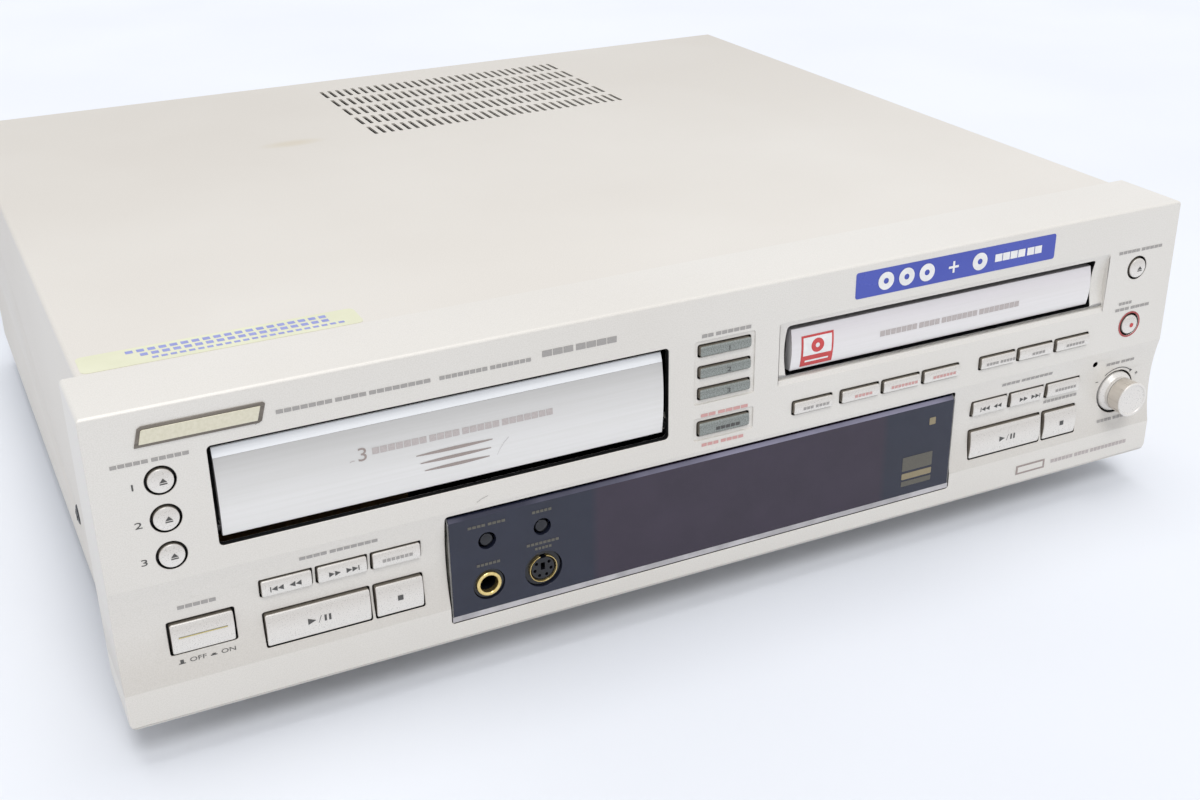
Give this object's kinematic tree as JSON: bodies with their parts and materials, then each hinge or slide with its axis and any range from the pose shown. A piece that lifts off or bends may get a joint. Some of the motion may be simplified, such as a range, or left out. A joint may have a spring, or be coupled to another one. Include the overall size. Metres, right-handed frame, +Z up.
{
  "type": "cd recorder",
  "caption": "Full-width home CD recorder: moulded front with scooped key band, changer door, sliding recording tray, smoked display window, level knob and steel cover.",
  "frame": {"origin": "on the floor, at the centre of the bounding box seen from above", "axes": "+X along the front panel to the right, -Y out of the front, +Z up"},
  "size_m": [0.42, 0.379, 0.1243],
  "materials": {
    "panel_moulding": "champagne-silver painted moulding, satin",
    "cover_steel": "champagne powder-painted steel sheet, fine grain",
    "zinc_steel": "zinc-plated steel",
    "smoked_window": "smoked acrylic, polished",
    "dark_board": "dark fluorescent tube and board",
    "gold_contact": "gold-plated ring",
    "black_plastic": "black moulding",
    "tan_board": "paper-phenolic circuit board",
    "green_board": "solder-masked circuit board",
    "transformer_core": "laminated core and taped winding",
    "drive_plastic": "dark grey moulding",
    "tray_plastic": "dark grey tray moulding, fine spark texture",
    "door_metal": "satin champagne aluminium",
    "knob_metal": "satin champagne knob with bright rim",
    "satin_key": "champagne metallic paint, satin",
    "grey_green_key": "grey-green metallic paint",
    "foot_rubber": "black foot"
  },
  "bodies": {
    "chassis": {"audio_sockets": "black_plastic", "changer_frame": "black_plastic", "changer_mechanism": "drive_plastic", "changer_tray_2": "tray_plastic", "changer_tray_3": "tray_plastic", "chassis_pan": "zinc_steel", "digital_sockets": "black_plastic", "display_module": "dark_board", "display_window": "smoked_window", "foot_front_left": "foot_rubber", "foot_front_right": "foot_rubber", "foot_rear_left": "foot_rubber", "foot_rear_right": "foot_rubber", "front_panel": "panel_moulding", "keyboard_socket": "black_plastic", "left_key_board": "tan_board", "main_board": "green_board", "mains_inlet": "black_plastic", "phone_jack": "gold_contact", "rear_panel": "zinc_steel", "recorder_frame": "black_plastic", "recorder_mechanism": "drive_plastic", "right_key_board": "tan_board", "top_cover": "cover_steel", "transformer": "transformer_core"},
    "changer_back_key": {"changer_back_key": "satin_key"},
    "changer_forward_key": {"changer_forward_key": "satin_key"},
    "changer_display_key": {"changer_display_key": "satin_key"},
    "changer_play_key": {"changer_play_key": "satin_key"},
    "changer_stop_key": {"changer_stop_key": "satin_key"},
    "recorder_back_key": {"recorder_back_key": "satin_key"},
    "recorder_forward_key": {"recorder_forward_key": "satin_key"},
    "recorder_display_key": {"recorder_display_key": "satin_key"},
    "recorder_play_key": {"recorder_play_key": "satin_key"},
    "recorder_stop_key": {"recorder_stop_key": "satin_key"},
    "record_mode_key": {"record_mode_key": "satin_key"},
    "erase_key": {"erase_key": "satin_key"},
    "finalize_key": {"finalize_key": "satin_key"},
    "synchro_key": {"synchro_key": "satin_key"},
    "auto_space_key": {"auto_space_key": "satin_key"},
    "name_key": {"name_key": "satin_key"},
    "menu_key": {"menu_key": "satin_key"},
    "disc_3_key": {"disc_3_key": "grey_green_key"},
    "disc_2_key": {"disc_2_key": "grey_green_key"},
    "disc_1_key": {"disc_1_key": "grey_green_key"},
    "copy_start_key": {"copy_start_key": "grey_green_key"},
    "power_button": {"power_button": "satin_key"},
    "eject_3_button": {"eject_3_button": "satin_key"},
    "eject_2_button": {"eject_2_button": "satin_key"},
    "eject_1_button": {"eject_1_button": "satin_key"},
    "recorder_eject_button": {"recorder_eject_button": "satin_key"},
    "record_button": {"record_button": "satin_key"},
    "play_mode_button": {"play_mode_button": "black_plastic"},
    "input_button": {"input_button": "black_plastic"},
    "knob_shaft": {"knob_shaft": "knob_metal"},
    "level_knob": {"level_knob": "knob_metal"},
    "recorder_tray": {"recorder_tray": "tray_plastic", "recorder_door": "door_metal"},
    "changer_tray_1": {"changer_tray_1": "tray_plastic"},
    "changer_door": {"changer_door": "door_metal"}
  },
  "joints": [
    {"name": "changer_back_key_press", "type": "slide", "parent": "chassis", "child": "changer_back_key", "axis": [0, 1, 0], "range_m": [0, 0.0006], "stiffness_N_per_m": 300},
    {"name": "changer_forward_key_press", "type": "slide", "parent": "chassis", "child": "changer_forward_key", "axis": [0, 1, 0], "range_m": [0, 0.0006], "stiffness_N_per_m": 300},
    {"name": "changer_display_key_press", "type": "slide", "parent": "chassis", "child": "changer_display_key", "axis": [0, 1, 0], "range_m": [0, 0.0006], "stiffness_N_per_m": 300},
    {"name": "changer_play_key_press", "type": "slide", "parent": "chassis", "child": "changer_play_key", "axis": [0, 1, 0], "range_m": [0, 0.0006], "stiffness_N_per_m": 300},
    {"name": "changer_stop_key_press", "type": "slide", "parent": "chassis", "child": "changer_stop_key", "axis": [0, 1, 0], "range_m": [0, 0.0006], "stiffness_N_per_m": 300},
    {"name": "recorder_back_key_press", "type": "slide", "parent": "chassis", "child": "recorder_back_key", "axis": [0, 1, 0], "range_m": [0, 0.0006], "stiffness_N_per_m": 300},
    {"name": "recorder_forward_key_press", "type": "slide", "parent": "chassis", "child": "recorder_forward_key", "axis": [0, 1, 0], "range_m": [0, 0.0006], "stiffness_N_per_m": 300},
    {"name": "recorder_display_key_press", "type": "slide", "parent": "chassis", "child": "recorder_display_key", "axis": [0, 1, 0], "range_m": [0, 0.0006], "stiffness_N_per_m": 300},
    {"name": "recorder_play_key_press", "type": "slide", "parent": "chassis", "child": "recorder_play_key", "axis": [0, 1, 0], "range_m": [0, 0.0006], "stiffness_N_per_m": 300},
    {"name": "recorder_stop_key_press", "type": "slide", "parent": "chassis", "child": "recorder_stop_key", "axis": [0, 1, 0], "range_m": [0, 0.0006], "stiffness_N_per_m": 300},
    {"name": "record_mode_key_press", "type": "slide", "parent": "chassis", "child": "record_mode_key", "axis": [0, 1, 0], "range_m": [0, 0.0006], "stiffness_N_per_m": 300},
    {"name": "erase_key_press", "type": "slide", "parent": "chassis", "child": "erase_key", "axis": [0, 1, 0], "range_m": [0, 0.0006], "stiffness_N_per_m": 300},
    {"name": "finalize_key_press", "type": "slide", "parent": "chassis", "child": "finalize_key", "axis": [0, 1, 0], "range_m": [0, 0.0006], "stiffness_N_per_m": 300},
    {"name": "synchro_key_press", "type": "slide", "parent": "chassis", "child": "synchro_key", "axis": [0, 1, 0], "range_m": [0, 0.0006], "stiffness_N_per_m": 300},
    {"name": "auto_space_key_press", "type": "slide", "parent": "chassis", "child": "auto_space_key", "axis": [0, 1, 0], "range_m": [0, 0.0006], "stiffness_N_per_m": 300},
    {"name": "name_key_press", "type": "slide", "parent": "chassis", "child": "name_key", "axis": [0, 1, 0], "range_m": [0, 0.0006], "stiffness_N_per_m": 300},
    {"name": "menu_key_press", "type": "slide", "parent": "chassis", "child": "menu_key", "axis": [0, 1, 0], "range_m": [0, 0.0006], "stiffness_N_per_m": 300},
    {"name": "disc_3_key_press", "type": "slide", "parent": "chassis", "child": "disc_3_key", "axis": [0, 1, 0], "range_m": [0, 0.0006], "stiffness_N_per_m": 300},
    {"name": "disc_2_key_press", "type": "slide", "parent": "chassis", "child": "disc_2_key", "axis": [0, 1, 0], "range_m": [0, 0.0006], "stiffness_N_per_m": 300},
    {"name": "disc_1_key_press", "type": "slide", "parent": "chassis", "child": "disc_1_key", "axis": [0, 1, 0], "range_m": [0, 0.0006], "stiffness_N_per_m": 300},
    {"name": "copy_start_key_press", "type": "slide", "parent": "chassis", "child": "copy_start_key", "axis": [0, 1, 0], "range_m": [0, 0.0006], "stiffness_N_per_m": 300},
    {"name": "power_button_press", "type": "slide", "parent": "chassis", "child": "power_button", "axis": [0, 1, 0], "range_m": [0, 0.003], "stiffness_N_per_m": 400},
    {"name": "eject_3_button_press", "type": "slide", "parent": "chassis", "child": "eject_3_button", "axis": [0, 1, 0], "range_m": [0, 0.0006], "stiffness_N_per_m": 300},
    {"name": "eject_2_button_press", "type": "slide", "parent": "chassis", "child": "eject_2_button", "axis": [0, 1, 0], "range_m": [0, 0.0006], "stiffness_N_per_m": 300},
    {"name": "eject_1_button_press", "type": "slide", "parent": "chassis", "child": "eject_1_button", "axis": [0, 1, 0], "range_m": [0, 0.0006], "stiffness_N_per_m": 300},
    {"name": "recorder_eject_button_press", "type": "slide", "parent": "chassis", "child": "recorder_eject_button", "axis": [0, 1, 0], "range_m": [0, 0.0006], "stiffness_N_per_m": 300},
    {"name": "record_button_press", "type": "slide", "parent": "chassis", "child": "record_button", "axis": [0, 1, 0], "range_m": [0, 0.0006], "stiffness_N_per_m": 300},
    {"name": "play_mode_button_press", "type": "slide", "parent": "chassis", "child": "play_mode_button", "axis": [0, 1, 0], "range_m": [0, 0.0006], "stiffness_N_per_m": 300},
    {"name": "input_button_press", "type": "slide", "parent": "chassis", "child": "input_button", "axis": [0, 1, 0], "range_m": [0, 0.0006], "stiffness_N_per_m": 300},
    {"name": "level_knob_push", "type": "slide", "parent": "chassis", "child": "knob_shaft", "axis": [0, 1, 0], "range_m": [0, 0.0008], "stiffness_N_per_m": 400},
    {"name": "level_knob_turn", "type": "hinge", "parent": "knob_shaft", "child": "level_knob", "pos_m": [0.1912, -0.17772, 0.0453], "axis": [0, 1, 0], "continuous": true},
    {"name": "recorder_tray_slide", "type": "slide", "parent": "chassis", "child": "recorder_tray", "axis": [0, -1, 0], "range_m": [0, 0.14]},
    {"name": "changer_tray_1_slide", "type": "slide", "parent": "chassis", "child": "changer_tray_1", "axis": [0, -1, 0], "range_m": [0, 0.205]},
    {"name": "changer_door_hinge", "type": "hinge", "parent": "chassis", "child": "changer_door", "pos_m": [-0.0965, -0.177, 0.0776], "axis": [1, 0, 0], "range_deg": [0, 95]}
  ],
  "couplings": [
    {"joint": "changer_door_hinge", "follows": "changer_tray_1_slide", "rad_per_m": 8.08}
  ]
}
